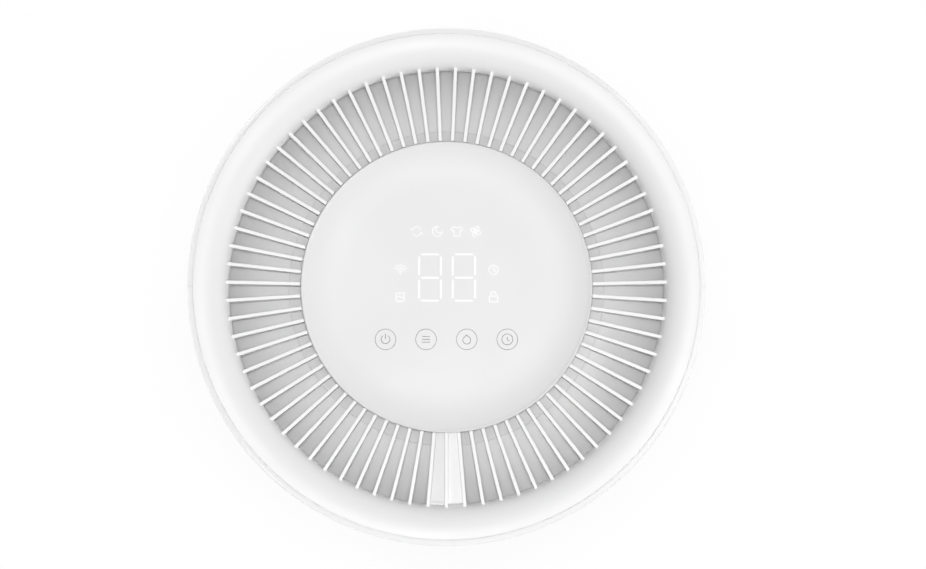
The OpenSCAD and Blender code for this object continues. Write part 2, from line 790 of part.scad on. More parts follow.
// Open water tank with a pocket for the finger recess and lugs for the float
module tank_body() {
    clear = cup_t + 0.5;
    color([0.8, 0.85, 0.9, 0.6]) difference() {
        union() {
            difference() {
                tank_plan(0, z_tank, tank_top);
                difference() {
                    tank_plan(tank_t, z_tank + tank_floor, tank_top + 1);
                    recess_block(clear + tank_t, 0);
                }
                recess_block(clear, 0);
            }
            for (x = [-16, 12])
                box(x, x + 4, pivot_y - 5, tank_back - 1, pivot_z - 7, pivot_z + 7);
        }
        rod_x(pivot_y, pivot_z, 2 + turn_gap, -20, 20);
    }
}

// Curved tank front with the finger recess
module tank_front() {
    half = 90 - asin(skin_gap / body_r);
    color([0.95, 0.95, 0.95]) difference() {
        union() {
            sector(skin_r, body_r, skin_z0, skin_z1, -90, half);
            intersection() {
                recess_block(cup_t, 0);
                disc(body_r - 0.5, skin_z0, skin_z1);
            }
        }
        recess_block(0, 0);
        sector(skin_r - 5, body_r + 5, z_tank + 20, recess_z0 + recess_h, -58, 2.4);
    }
}

module level_window() {
    color([0.7, 0.8, 0.88, 0.5])
        sector(skin_r + 0.1, body_r - 0.4, z_tank + 20.2, recess_z0 + recess_h - 0.2, -58, 2.32);
}

module float_arm() {
    color([0.9, 0.9, 0.88]) union() {
        rod_x(pivot_y, pivot_z, 2, -15.5, 15.5);
        rod_x(pivot_y, pivot_z, 3.6, -11.6, 11.6);
        box(-8, 8, pivot_y - arm_l, pivot_y, pivot_z - 2, pivot_z + 2);
    }
}

module tank_float() {
    y0 = pivot_y - arm_l - 10;
    color([0.95, 0.95, 0.93])
        box(-float_w / 2, float_w / 2, y0, y0 + float_l, pivot_z - 2 - float_h, pivot_z - 2);
}

module float_magnet() {
    color([0.5, 0.5, 0.52]) box(-4, 4, pivot_y - 12, pivot_y - 6, pivot_z + 2, pivot_z + 6);
}

module tank_switch() {
    color([0.2, 0.2, 0.22]) box(-9, 9, bay_y + 2.5, bay_y + 8.5, pivot_z - 8, pivot_z + 12);
}

module bay_wall() {
    half = sqrt(pow(ledge_r, 2) - pow(bay_y + 2.5, 2)) - 1;
    color([0.82, 0.83, 0.85]) box(-half, half, bay_y, bay_y + 2.5, z_base, z_deck);
}

module mid_deck() {
    color([0.82, 0.83, 0.85]) difference() {
        disc(disc_r, z_deck, z_bay);
        post(0, spout_y, 9, z_deck - 1, z_bay + 1);
        rotate([0, 0, 59]) post(disc_r - 10, 0, 6, z_deck - 1, z_bay + 1);
        for (a = [90, 210, 330])
            translate([0, can_y, 0]) rotate([0, 0, a]) post(foot_ring, 0, 3.05, z_deck - 1, z_bay + 1);
    }
}

// Tray under the coils with a spout to the tank and a spigot to the rear
module drip_tray() {
    half = plate_x + 6;
    back = tray_back;
    front = tray_front;
    floor_z = tray_z - 2.5;
    color([0.78, 0.8, 0.82]) difference() {
        union() {
            box(-half, half, front, back, floor_z, tray_top);
            box(-12, 12, front - 18, front + 1, floor_z, tray_top);
            post(0, spout_y, 7, z_deck - 3, floor_z + 1);
            rod_y(0, drain_z, spigot_d / 2 + 1, back - 1, body_r - 16);
            rod_y(0, drain_z, spigot_d / 2, back - 1, body_r - 3);
            for (x = [8 - coil_x, coil_x - 8], y = [front + 6, back - 16])
                box(x - 4, x + 4, y, y + 8, z_bay, floor_z + 1);
        }
        box(2 - half, half - 2, front + 2, back - 2, tray_z, tray_z + 20);
        box(-10, 10, front - 16, front + 3, tray_z, tray_z + 20);
        post(0, spout_y, 5, z_deck - 5, tray_z + 1);
        rod_y(0, drain_z, spigot_d / 2 - 1.5, back - 5, body_r);
    }
}

// Cup round the drain spigot
module drain_cup() {
    floor_y = body_r - 19;
    color([0.9, 0.9, 0.91]) difference() {
        intersection() {
            rod_y(0, drain_z, cup_r, floor_y, body_r + 2);
            disc(body_r - 0.1, drain_z - 20, drain_z + 20);
        }
        rod_y(0, drain_z, cup_r - 1.6, floor_y + 2, body_r + 5);
        rod_y(0, drain_z, spigot_d / 2 + 1.2, floor_y - 1, body_r);
    }
}

// Rounded can welded to a three-armed foot
module compressor() {
    c = 18;
    low = [for (a = [0 : 15 : 90]) [can_r - c + c * sin(a), can_z + c - c * cos(a)]];
    top = [for (a = [90 : -15 : 0]) [can_r - c + c * sin(a), can_top - c + c * cos(a)]];
    room = can_r - can_t;
    color([0.12, 0.12, 0.13]) translate([0, can_y, 0]) difference() {
        union() {
            rotate_extrude() polygon(concat([[0, can_z]], low, top, [[0, can_top]]));
            for (a = [90, 210, 330])
                rotate([0, 0, a]) {
                    box(10, foot_ring, -foot_pad, foot_pad, can_z - 3, can_z);
                    post(foot_ring, 0, foot_pad, can_z - 3, can_z);
                }
            disc(can_r - 21, can_z - 3, can_z + 1);
            post(16, 0, 6, can_top - 1, can_top + 6);
        }
        for (a = [90, 210, 330])
            rotate([0, 0, a]) post(foot_ring, 0, 3.4, can_z - 5, can_z + 5);
        disc(room, can_z + can_t, can_top - can_t);
        post(16, 0, tube_r - 1, can_top - can_t - 1, can_top + 7);
    }
}

module compressor_mounts() {
    color([0.15, 0.15, 0.15]) translate([0, can_y, 0])
        for (a = [90, 210, 330])
            rotate([0, 0, a]) translate([foot_ring, 0, 0]) ring(3.4, 10, z_bay, can_z - 3);
}

module compressor_bolts() {
    color([0.75, 0.75, 0.77]) translate([0, can_y, 0])
        for (a = [90, 210, 330])
            rotate([0, 0, a]) translate([foot_ring, 0, 0]) {
                disc(3, z_deck, can_z + 8);
                translate([0, 0, can_z]) cylinder(r = 6, h = 5, $fn = 6);
            }
}

module accumulator() {
    z0 = can_z + flask_lift;
    z1 = z0 + flask_h;
    color([0.14, 0.14, 0.15]) union() {
        translate([flask_x, can_y, 0]) rotate_extrude()
            polygon([[0, z0], [9, z0], [flask_r, z0 + 10], [flask_r, z1 - 10], [9, z1], [0, z1]]);
        box(flask_x + flask_r - 3, -can_r - 0.3, can_y - 8, can_y + 8, z0 + 40, z0 + 52);
        pipe([[flask_x, can_y, z0 + 1], [flask_x, can_y, can_z + 22],
            [-can_r - 0.2, can_y, can_z + 22]], 5, 8);
    }
}

module terminal_cover() {
    color([0.2, 0.2, 0.22]) union() {
        post(-10, can_y, 17, can_top, can_top + 18);
        box(-30, -10, can_y - 8, can_y + 8, can_top, can_top + 12);
    }
}

module fin_plate(y, x, thick, half, z0, z1) {
    translate([x - thick / 2, 0, 0]) rotate([90, 0, 90]) linear_extrude(thick) difference() {
        translate([y - half, z0]) square([2 * half, z1 - z0]);
        for (i = [0 : row_count - 1])
            translate([y, row_z(i)]) circle(r = tube_r + turn_gap);
    }
}

module fin_pack(y) {
    for (k = [0 : fin_count - 1])
        fin_plate(y, -coil_x + 2 + k * (coil_w - 4) / (fin_count - 1), fin_t, coil_t / 2, coil_z0, coil_z1);
}

// One serpentine tube with both ends on the left
module serpentine(y) {
    bend = row_pitch / 2;
    for (i = [0 : row_count - 1])
        rod_x(y, row_z(i), tube_r, (i == 0 || i == row_count - 1) ? -stub_x : -plate_x - 2, plate_x + 2);
    for (i = [0 : 2 : row_count - 2])
        translate([plate_x + 2, y, row_z(i) + bend]) rotate([90, 0, 0]) rotate([0, 0, -90])
            rotate_extrude(angle = 180) translate([bend, 0]) circle(r = tube_r);
    for (i = [1 : 2 : row_count - 3])
        translate([-plate_x - 2, y, row_z(i) + bend]) rotate([90, 0, 0]) rotate([0, 0, 90])
            rotate_extrude(angle = 180) translate([bend, 0]) circle(r = tube_r);
}

module evaporator_fins() { color([0.75, 0.8, 0.85]) fin_pack(evap_y); }
module condenser_fins() { color([0.75, 0.77, 0.78]) fin_pack(cond_y); }
module evaporator_tube() { color([0.72, 0.45, 0.3]) serpentine(evap_y); }
module condenser_tube() { color([0.72, 0.45, 0.3]) serpentine(cond_y); }

module coil_plates() {
    color([0.7, 0.72, 0.74])
        for (x = [-coil_x - 0.75, coil_x + 0.75])
            translate([x - 0.75, 0, 0]) rotate([90, 0, 90]) linear_extrude(1.5) difference() {
                translate([cond_y - coil_t / 2 - 1, tray_z])
                    square([evap_y - cond_y + coil_t + 2, coil_z1 - tray_z]);
                for (y = [cond_y, evap_y], i = [0 : row_count - 1])
                    translate([y, row_z(i)]) circle(r = tube_r + turn_gap);
            }
}

module coil_seal() {
    color([0.2, 0.2, 0.2]) box(-coil_x, coil_x, cond_y - coil_t / 2, evap_y + coil_t / 2, coil_z1, z_fan);
}

module discharge_pipe() {
    x = -stub_x - 11;
    color([0.72, 0.45, 0.3])
        pipe([[16, can_y, can_top + 6], [16, can_y, top_row], [16, 12, top_row], [x, 12, top_row],
            [x, cond_y, top_row], [-stub_x, cond_y, top_row]], tube_r, 9);
}

module suction_pipe() {
    x = -stub_x - 9;
    z = top_row + 15;
    color([0.72, 0.45, 0.3])
        pipe([[-stub_x, evap_y, top_row], [x, evap_y, top_row], [x, evap_y, z], [x, can_y + 20, z],
            [flask_x, can_y + 20, z], [flask_x, can_y, z], [flask_x, can_y, can_z + flask_lift + flask_h]],
            tube_r, 7);
}

module capillary_pipe() {
    x = -stub_x - 7;
    color([0.72, 0.45, 0.3])
        pipe([[-stub_x, cond_y, low_row], [x, cond_y, low_row], [x, evap_y, low_row],
            [-stub_x, evap_y, low_row]], 2.5, 6);
}

module control_box() {
    half = box_w / 2;
    color([0.2, 0.2, 0.22]) difference() {
        box(-half, half, box_y, box_back, z_base, z_base + box_h);
        box(box_t - half, half - box_t, box_y + box_t, box_back + 1, z_base + box_t, z_base + box_h - box_t);
    }
}

module control_board() {
    half = box_w / 2 - box_t - 3.5;
    y0 = box_y + box_t;
    y1 = box_back - 8;
    color([0.1, 0.35, 0.2]) union() {
        box(-half, half, y0, y0 + board_t, z_base + box_t, z_base + box_h - box_t - 4.5);
        box(-half + 10, -half + 38, y0, y1 - 8, z_base + 12, z_base + 40);
        box(4, 40, y0, y1 - 13, z_base + 54, z_base + 84);
        rod_y(30 - half, z_base + 72, 14, y0, y1);
    }
}

module humidity_sensor() {
    color([0.92, 0.92, 0.92]) box(-9, 9, tray_back + 1, tray_back + 9, z_fan - 14, z_fan);
}

// Bush in the rear wall for the supply cord
module cord_gland() {
    color([0.15, 0.15, 0.16]) difference() {
        union() {
            rod_y(0, gland_z, 8, body_r - 11, body_r - 0.6);
            rod_y(0, gland_z, 11, body_r - 6, shell_r - 0.8);
        }
        rod_y(0, gland_z, cord_d / 2, body_r - 20, body_r + 5);
    }
}

top_ring();
outlet_grille();
control_panel();
display_board();
light_guide();
touch_pads();
panel_pedestal();
diffuser_cone();
fan_motor();
motor_shaft();
impeller();
impeller_nut();
outlet_duct();
fan_deck();
front_housing();
rear_housing();
lower_shell();
intake_grille();
filter_frame();
filter_mesh();
hand_grips();
base_tray();
base_screws();
fork_front_left();
fork_front_right();
fork_rear_left();
fork_rear_right();
wheel_front_left();
wheel_front_right();
wheel_rear_left();
wheel_rear_right();
tank_body();
tank_front();
level_window();
float_arm();
tank_float();
float_magnet();
tank_switch();
bay_wall();
mid_deck();
drip_tray();
drain_cup();
compressor();
compressor_mounts();
compressor_bolts();
accumulator();
terminal_cover();
evaporator_fins();
evaporator_tube();
condenser_fins();
condenser_tube();
coil_plates();
coil_seal();
discharge_pipe();
suction_pipe();
capillary_pipe();
control_box();
control_board();
humidity_sensor();
cord_gland();
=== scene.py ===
import json
import math
import bpy
import bmesh
from mathutils import Matrix, Vector


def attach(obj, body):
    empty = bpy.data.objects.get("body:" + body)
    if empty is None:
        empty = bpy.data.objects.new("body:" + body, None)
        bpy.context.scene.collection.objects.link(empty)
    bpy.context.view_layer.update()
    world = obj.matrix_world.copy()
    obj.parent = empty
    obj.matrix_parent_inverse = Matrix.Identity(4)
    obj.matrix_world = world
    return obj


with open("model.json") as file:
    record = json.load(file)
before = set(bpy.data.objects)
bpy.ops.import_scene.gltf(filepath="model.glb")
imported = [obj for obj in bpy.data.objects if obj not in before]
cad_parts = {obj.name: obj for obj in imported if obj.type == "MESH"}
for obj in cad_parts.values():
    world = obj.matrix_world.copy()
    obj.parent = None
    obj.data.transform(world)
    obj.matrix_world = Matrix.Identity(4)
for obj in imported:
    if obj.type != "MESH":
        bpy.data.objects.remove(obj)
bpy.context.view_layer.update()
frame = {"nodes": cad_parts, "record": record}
nodes = frame["nodes"]
slotOf = {part["node"]: part["material_slot"] for part in frame["record"]["subparts"]}
print("frame loaded,", len(nodes), "solids")


# camera: almost straight above and leaning to the front, which lies towards the bottom of the picture
shot = {"aim": (0.0, 0.0, 0.594), "rise": 86.8, "away": 2.4, "lens": 161.2, "sensor": 36.0,
        "shiftX": 0.0179, "shiftY": 0.0022, "near": 0.05, "far": 60.0}


def placeCamera():
    data = bpy.data.cameras.new("topCamera")
    data.sensor_width = shot["sensor"]
    data.lens = shot["lens"]
    data.shift_x = shot["shiftX"]
    data.shift_y = shot["shiftY"]
    data.clip_start = shot["near"]
    data.clip_end = shot["far"]
    camera = bpy.data.objects.new("topCamera", data)
    rise = math.radians(shot["rise"])
    back = Vector((0.0, -math.cos(rise), math.sin(rise)))
    camera.location = Vector(shot["aim"]) + back * shot["away"]
    camera.rotation_mode = "QUATERNION"
    camera.rotation_quaternion = (-back).to_track_quat("-Z", "Y")
    bpy.context.scene.collection.objects.link(camera)
    bpy.context.scene.camera = camera


placeCamera()
print("camera placed")


# node trees: small helpers shared by every finish
def addNode(tree, kind, values=None, **settings):
    node = tree.nodes.new("ShaderNode" + kind)
    for key, value in settings.items():
        setattr(node, key, value)
    for key, value in (values or {}).items():
        node.inputs[key].default_value = value
    return node


def emptyTree(owner, endKind):
    owner.use_nodes = True
    tree = owner.node_tree
    tree.nodes.clear()
    return tree, addNode(tree, endKind)


def newGroup(name, inputs, outputs):
    group = bpy.data.node_groups.new(name, "ShaderNodeTree")
    for label, kind, value in inputs:
        socket = group.interface.new_socket(label, in_out="INPUT", socket_type="NodeSocket" + kind)
        socket.default_value = value
    for label, kind in outputs:
        group.interface.new_socket(label, in_out="OUTPUT", socket_type="NodeSocket" + kind)
    return group, group.nodes.new("NodeGroupInput"), group.nodes.new("NodeGroupOutput")


def placeGroup(tree, group, **values):
    node = tree.nodes.new("ShaderNodeGroup")
    node.node_tree = group
    for key, value in values.items():
        node.inputs[key].default_value = value
    return node


def faceNormal(tree):
    return addNode(tree, "NewGeometry").outputs["Normal"]


def objectPlace(tree):
    return addNode(tree, "TexCoord").outputs["Object"]


def feedSocket(tree, socket, value):  # a number is set on the socket, an output is linked to it
    if isinstance(value, (int, float)):
        socket.default_value = value
    else:
        tree.links.new(value, socket)


def mathNode(tree, operation, *values):
    node = addNode(tree, "Math", operation=operation)
    for socket, value in zip(node.inputs, values):
        feedSocket(tree, socket, value)
    return node.outputs[0]


def rangeNode(tree, source, low, high, toLow, toHigh):
    node = addNode(tree, "MapRange")
    for socket, value in zip(node.inputs, (source, low, high, toLow, toHigh)):
        feedSocket(tree, socket, value)
    return node.outputs[0]


def noiseNode(tree, scale, detail, rough, stretch=None):
    spot = objectPlace(tree)
    if stretch:
        bend = addNode(tree, "Mapping", {"Scale": stretch})
        tree.links.new(spot, bend.inputs["Vector"])
        spot = bend.outputs[0]
    node = addNode(tree, "TexNoise", {"Detail": detail, "Roughness": rough})
    tree.links.new(spot, node.inputs["Vector"])
    tree.links.new(scale, node.inputs["Scale"])
    return node.outputs[0]


def scaledColor(tree, color, level):
    node = addNode(tree, "VectorMath", operation="SCALE")
    tree.links.new(color, node.inputs[0])
    tree.links.new(level, node.inputs["Scale"])
    return node.outputs[0]


def axisOf(tree, vector, axis):
    node = addNode(tree, "SeparateXYZ")
    tree.links.new(vector, node.inputs[0])
    return node.outputs[axis]


def bumpNormal(tree, height, look, normal=None):
    bump = addNode(tree, "Bump", {"Strength": look["bump"], "Distance": look["depth"]})
    tree.links.new(height, bump.inputs["Height"])
    if normal is not None:
        tree.links.new(normal, bump.inputs["Normal"])
    return bump.outputs[0]


white = (1.0, 1.0, 1.0, 1.0)
noiseBand = (0.3, 0.7)  # nearly all values of a noise lie in this band
grainNoise = {"detail": 3.0, "rough": 0.65}
driftNoise = {"detail": 4.0, "rough": 0.55}
dustNoise = {"detail": 5.0, "rough": 0.65}
lineNoise = {"detail": 3.0, "rough": 0.6, "stretch": (1.0, 1.0, 0.04)}
edgeFinder = {"samples": 6, "flat": 1.0, "sharp": 0.8}
dustFall = {"tilt": (0.2, 1.0), "patch": (0.35, 0.7), "thinnest": 0.2}


def makeMouldGrain():  # fine eroded grain of a moulded surface
    group, start, end = newGroup("mouldGrain", [("Scale", "Float", 2400.0)], [("Height", "Float")])
    group.links.new(noiseNode(group, start.outputs["Scale"], **grainNoise), end.inputs["Height"])
    return group


def makeToneDrift():  # slow change of tone across a moulding
    group, start, end = newGroup("toneDrift",
                                 [("Color", "Color", white), ("Spread", "Float", 0.02), ("Scale", "Float", 14.0)],
                                 [("Color", "Color"), ("Drift", "Float")])
    drift = rangeNode(group, noiseNode(group, start.outputs["Scale"], **driftNoise), *noiseBand, 0.0, 1.0)
    darkest = mathNode(group, "SUBTRACT", 1.0, start.outputs["Spread"])
    level = rangeNode(group, drift, 0.0, 1.0, darkest, 1.0)
    group.links.new(scaledColor(group, start.outputs["Color"], level), end.inputs["Color"])
    group.links.new(drift, end.inputs["Drift"])
    return group


def makeSoftEdge():  # rounds the light on sharp edges and finds them for wear
    group, start, end = newGroup("softEdge", [("Radius", "Float", 0.0005)],
                                 [("Normal", "Vector"), ("Edge", "Float")])
    bevel = addNode(group, "Bevel", samples=edgeFinder["samples"])
    group.links.new(start.outputs["Radius"], bevel.inputs["Radius"])
    dot = addNode(group, "VectorMath", operation="DOT_PRODUCT")
    group.links.new(bevel.outputs[0], dot.inputs[0])
    group.links.new(faceNormal(group), dot.inputs[1])
    edge = rangeNode(group, dot.outputs["Value"], edgeFinder["flat"], edgeFinder["sharp"], 0.0, 1.0)
    group.links.new(bevel.outputs[0], end.inputs["Normal"])
    group.links.new(edge, end.inputs["Edge"])
    return group


def makeSettledDust():  # thin dust on faces that look up
    group, start, end = newGroup("settledDust", [("Amount", "Float", 0.3), ("Scale", "Float", 60.0)],
                                 [("Mask", "Float")])
    facing = rangeNode(group, axisOf(group, faceNormal(group), "Z"), *dustFall["tilt"], 0.0, 1.0)
    noise = noiseNode(group, start.outputs["Scale"], **dustNoise)
    patch = rangeNode(group, noise, *dustFall["patch"], dustFall["thinnest"], 1.0)
    layer = mathNode(group, "MULTIPLY", facing, patch)
    group.links.new(mathNode(group, "MULTIPLY", layer, start.outputs["Amount"]), end.inputs["Mask"])
    return group


def makeDrawnLines():  # long streaks of drawn or rolled metal
    group, start, end = newGroup("drawnLines", [("Scale", "Float", 900.0), ("Contrast", "Float", 0.2)],
                                 [("Tone", "Float"), ("Height", "Float")])
    streak = noiseNode(group, start.outputs["Scale"], **lineNoise)
    darkest = mathNode(group, "SUBTRACT", 1.0, start.outputs["Contrast"])
    group.links.new(rangeNode(group, streak, *noiseBand, darkest, 1.0), end.inputs["Tone"])
    group.links.new(streak, end.inputs["Height"])
    return group


mouldGrain = makeMouldGrain()
toneDrift = makeToneDrift()
softEdge = makeSoftEdge()
settledDust = makeSettledDust()
drawnLines = makeDrawnLines()
print("shared effects built")


def startMaterial(name):
    material = bpy.data.materials.new(name)
    tree, end = emptyTree(material, "OutputMaterial")
    shader = addNode(tree, "BsdfPrincipled")
    tree.links.new(shader.outputs[0], end.inputs["Surface"])
    return material, tree, shader


def grey(level):  # screen level 0 to 255, as a linear colour
    value = level / 255.0
    value = value / 12.92 if value <= 0.04045 else ((value + 0.055) / 1.055) ** 2.4
    return (value, value, value, 1.0)


def driftingRoughness(tree, tone, look):
    return rangeNode(tree, tone.outputs["Drift"], 0.0, 1.0, *look["rough"])


plasticBase = {"driftScale": 14.0, "rub": 0.08, "ior": 1.46, "dustTone": (0.48, 0.46, 0.43, 1.0)}


def dustedColor(tree, color, amount):
    dust = placeGroup(tree, settledDust, Amount=amount)
    dustAndShadeFilm = addNode(tree, "Mix", {7: plasticBase["dustTone"]}, data_type="RGBA")
    tree.links.new(dust.outputs["Mask"], dustAndShadeFilm.inputs[0])
    tree.links.new(color, dustAndShadeFilm.inputs[6])
    return dustAndShadeFilm.outputs[2]


def paintedDepthShade(tree, color, paintedShade):  # painted shade: faces that look up low in the outlet are drawn greyer, standing in for the shade between the ribs
    ledge = rangeNode(tree, axisOf(tree, faceNormal(tree), "Z"), *paintedShade["tilt"], 0.0, 1.0 - paintedShade["tone"])
    depth = rangeNode(tree, axisOf(tree, objectPlace(tree), "Z"), *paintedShade["heights"], 1.0, 0.0)
    dustAndShadeFilm = mathNode(tree, "MULTIPLY", depth, ledge)
    return scaledColor(tree, color, mathNode(tree, "SUBTRACT", 1.0, dustAndShadeFilm))


def mouldedPlastic(name, look):
    material, tree, shader = startMaterial(name)
    drift = placeGroup(tree, toneDrift, Color=look["color"], Spread=look["spread"], Scale=plasticBase["driftScale"])
    grain = placeGroup(tree, mouldGrain, Scale=look["grain"])
    edge = placeGroup(tree, softEdge, Radius=look["edge"])
    color = drift.outputs["Color"]
    if "dust" in look:
        color = dustedColor(tree, color, look["dust"])
    # painted shade: faces that look up low down are drawn greyer
    if "paintedShade" in look:
        color = paintedDepthShade(tree, color, look["paintedShade"])
    tree.links.new(color, shader.inputs["Base Color"])
    rubbed = mathNode(tree, "MULTIPLY", edge.outputs["Edge"], plasticBase["rub"])
    tree.links.new(mathNode(tree, "SUBTRACT", driftingRoughness(tree, drift, look), rubbed),
                   shader.inputs["Roughness"])
    tree.links.new(bumpNormal(tree, grain.outputs["Height"], look, edge.outputs["Normal"]), shader.inputs["Normal"])
    shader.inputs["IOR"].default_value = plasticBase["ior"]
    return material


finishes = {}
shellLook = {"color": grey(249), "spread": 0.012, "grain": 2600.0, "rough": (0.38, 0.46), "depth": 0.00006,
             "bump": 0.25, "edge": 0.0003}
# the grille carries painted shade: faces that look up low between the ribs are drawn greyer
grilleLook = {"color": grey(250), "spread": 0.008, "grain": 2600.0, "rough": (0.4, 0.48), "depth": 0.00005,
              "bump": 0.2, "edge": 0.0005,
              "paintedShade": {"heights": (0.5838, 0.5915), "tilt": (0.6, 0.9), "tone": 0.78}}
panelLook = {"color": grey(243), "spread": 0.008, "grain": 3200.0, "rough": (0.44, 0.52), "depth": 0.00004,
             "bump": 0.2, "edge": 0.0006}
coneLook = {"color": grey(233), "spread": 0.03, "grain": 2200.0, "rough": (0.45, 0.55), "depth": 0.00007,
            "bump": 0.3, "edge": 0.0006}
innerLook = {**shellLook, "color": grey(236), "rough": (0.46, 0.56)}
innerGreyLook = {**coneLook, "color": grey(176), "dust": 0.15}
darkLook = {**coneLook, "color": grey(52), "spread": 0.12, "dust": 0.1}
boardLook = {**coneLook, "color": (0.02, 0.12, 0.05, 1.0), "spread": 0.25}
rubberLook = {**coneLook, "color": grey(38), "spread": 0.2, "rough": (0.62, 0.78), "dust": 0.2}
wheelLook = {**coneLook, "color": grey(70), "spread": 0.15, "rough": (0.55, 0.7), "dust": 0.25}
paintLook = {**coneLook, "color": grey(34), "spread": 0.1, "grain": 900.0, "rough": (0.24, 0.36),
             "depth": 0.00012, "dust": 0.25}
finishes["white_shell"] = mouldedPlastic("shellWhite", shellLook)
finishes["white_grille"] = mouldedPlastic("grilleWhite", grilleLook)
finishes["white_panel"] = mouldedPlastic("panelWhite", panelLook)
finishes["pale_cone"] = mouldedPlastic("conePale", coneLook)
finishes["white_inner"] = mouldedPlastic("innerWhite", innerLook)
finishes["grey_inner"] = mouldedPlastic("innerGrey", innerGreyLook)
finishes["dark_plastic"] = mouldedPlastic("darkPlastic", darkLook)
finishes["circuit_board"] = mouldedPlastic("boardGreen", boardLook)
finishes["black_rubber"] = mouldedPlastic("blackRubber", rubberLook)
finishes["wheel_rubber"] = mouldedPlastic("wheelRubber", wheelLook)
finishes["black_paint"] = mouldedPlastic("blackPaint", paintLook)


def metalFinish(name, look):
    material, tree, shader = startMaterial(name)
    lines = placeGroup(tree, drawnLines, Scale=look["lines"], Contrast=look["contrast"])
    tone = placeGroup(tree, toneDrift, Color=look["color"], Spread=look["spread"], Scale=look["driftScale"])
    edge = placeGroup(tree, softEdge, Radius=look["edge"])
    color = scaledColor(tree, tone.outputs["Color"], lines.outputs["Tone"])
    tree.links.new(color, shader.inputs["Base Color"])
    tree.links.new(driftingRoughness(tree, tone, look), shader.inputs["Roughness"])
    tree.links.new(bumpNormal(tree, lines.outputs["Height"], look, edge.outputs["Normal"]), shader.inputs["Normal"])
    shader.inputs["Metallic"].default_value = 1.0
    return material


steelLook = {"color": (0.56, 0.56, 0.57, 1.0), "spread": 0.12, "driftScale": 40.0, "lines": 1200.0,
             "contrast": 0.12, "rough": (0.26, 0.4), "depth": 0.00004, "bump": 0.2, "edge": 0.0003}
motorLook = {**steelLook, "color": (0.48, 0.49, 0.51, 1.0), "rough": (0.34, 0.5)}
brassLook = {**steelLook, "color": (0.72, 0.5, 0.2, 1.0)}
copperLook = {**steelLook, "color": (0.78, 0.37, 0.22, 1.0), "spread": 0.35, "rough": (0.24, 0.48)}
finLook = {**steelLook, "color": (0.78, 0.79, 0.8, 1.0), "contrast": 0.18}
finishes["steel"] = metalFinish("brightSteel", steelLook)
finishes["motor_metal"] = metalFinish("motorZinc", motorLook)
finishes["brass_nut"] = metalFinish("nutBrass", brassLook)
finishes["copper"] = metalFinish("tubeCopper", copperLook)
finishes["fin_aluminium"] = metalFinish("finAluminium", finLook)


def clearPlastic(name, look):
    material, tree, shader = startMaterial(name)
    tone = placeGroup(tree, toneDrift, Color=look["color"], Spread=look["spread"], Scale=look["driftScale"])
    grain = placeGroup(tree, mouldGrain, Scale=look["grain"])
    tree.links.new(tone.outputs["Color"], shader.inputs["Base Color"])
    tree.links.new(driftingRoughness(tree, tone, look), shader.inputs["Roughness"])
    tree.links.new(bumpNormal(tree, grain.outputs["Height"], look), shader.inputs["Normal"])
    shader.inputs["Transmission Weight"].default_value = look["clear"]
    shader.inputs["IOR"].default_value = look["ior"]
    return material


tankLook = {"color": (0.82, 0.86, 0.9, 1.0), "spread": 0.03, "driftScale": 20.0, "grain": 600.0,
            "rough": (0.16, 0.26), "depth": 0.00003, "bump": 0.15, "clear": 0.75, "ior": 1.2}
windowLook = {**tankLook, "color": (0.62, 0.7, 0.78, 1.0), "rough": (0.05, 0.12), "clear": 0.85}
finishes["clear_tank"] = clearPlastic("tankClear", tankLook)
finishes["clear_window"] = clearPlastic("windowClear", windowLook)


netLook = {"color": grey(96), "spread": 0.2, "driftScale": 30.0, "pitch": 0.0016, "thread": 0.34, "blur": 0.04,
           "rough": 0.6, "depth": 0.0003, "bump": 0.6}


def netFinish():  # woven dust net: threads with open squares
    material, tree, shader = startMaterial("filterNet")
    half = netLook["thread"] / 2
    masks = []
    for axis in ("X", "Z"):
        step = mathNode(tree, "MULTIPLY", axisOf(tree, objectPlace(tree), axis), 1.0 / netLook["pitch"])
        away = mathNode(tree, "ABSOLUTE", mathNode(tree, "SUBTRACT", mathNode(tree, "FRACT", step), 0.5))
        masks.append(rangeNode(tree, away, half - netLook["blur"], half + netLook["blur"], 1.0, 0.0))
    thread = mathNode(tree, "MAXIMUM", *masks)
    tone = placeGroup(tree, toneDrift, Color=netLook["color"], Spread=netLook["spread"],
                      Scale=netLook["driftScale"])
    tree.links.new(tone.outputs["Color"], shader.inputs["Base Color"])
    tree.links.new(thread, shader.inputs["Alpha"])
    tree.links.new(bumpNormal(tree, thread, netLook), shader.inputs["Normal"])
    shader.inputs["Roughness"].default_value = netLook["rough"]
    return material


finishes["filter_net"] = netFinish()
# painted shade: the pedestal step under the panel's edge is drawn darker, for the shade under the panel's overhang
paintedShadeFinish = {"panel_pedestal": mouldedPlastic("pedestalPaintedShade", {**coneLook, "color": grey(216)})}
for nodeName, piece in nodes.items():
    piece.data.materials.clear()
    piece.data.materials.append(paintedShadeFinish.get(nodeName) or finishes[slotOf[nodeName]])
print("finishes on", len(nodes), "solids")


# marks on the touch panel, drawn in millimetres as thin strokes that lie on its flat middle
markSheet = {"top": 0.5888, "proud": 0.00008, "sunk": 0.0003, "millimetre": 0.001}
strokeShape = {"tightest": 0.45, "still": 1e-6, "capSteps": ((0.5, 0.87), (0.87, 0.5))}


def line(points):  # a stroke with two ends
    return points, False


def loop(points):  # a stroke that closes on itself
    return points, True


def arcPoints(x, y, radius, start, stop, count):
    steps = [math.radians(start + (stop - start) * k / count) for k in range(count + 1)]
    return [(x + radius * math.cos(t), y + radius * math.sin(t)) for t in steps]


def ringPoints(x, y, radius, count=48):
    return arcPoints(x, y, radius, 0.0, 360.0, count)[:-1]


def moved(strokes, x, y, size=1.0):
    return [([(px * size + x, py * size + y) for px, py in points], closed) for points, closed in strokes]


def leftOf(direction):
    return Vector((-direction.y, direction.x))


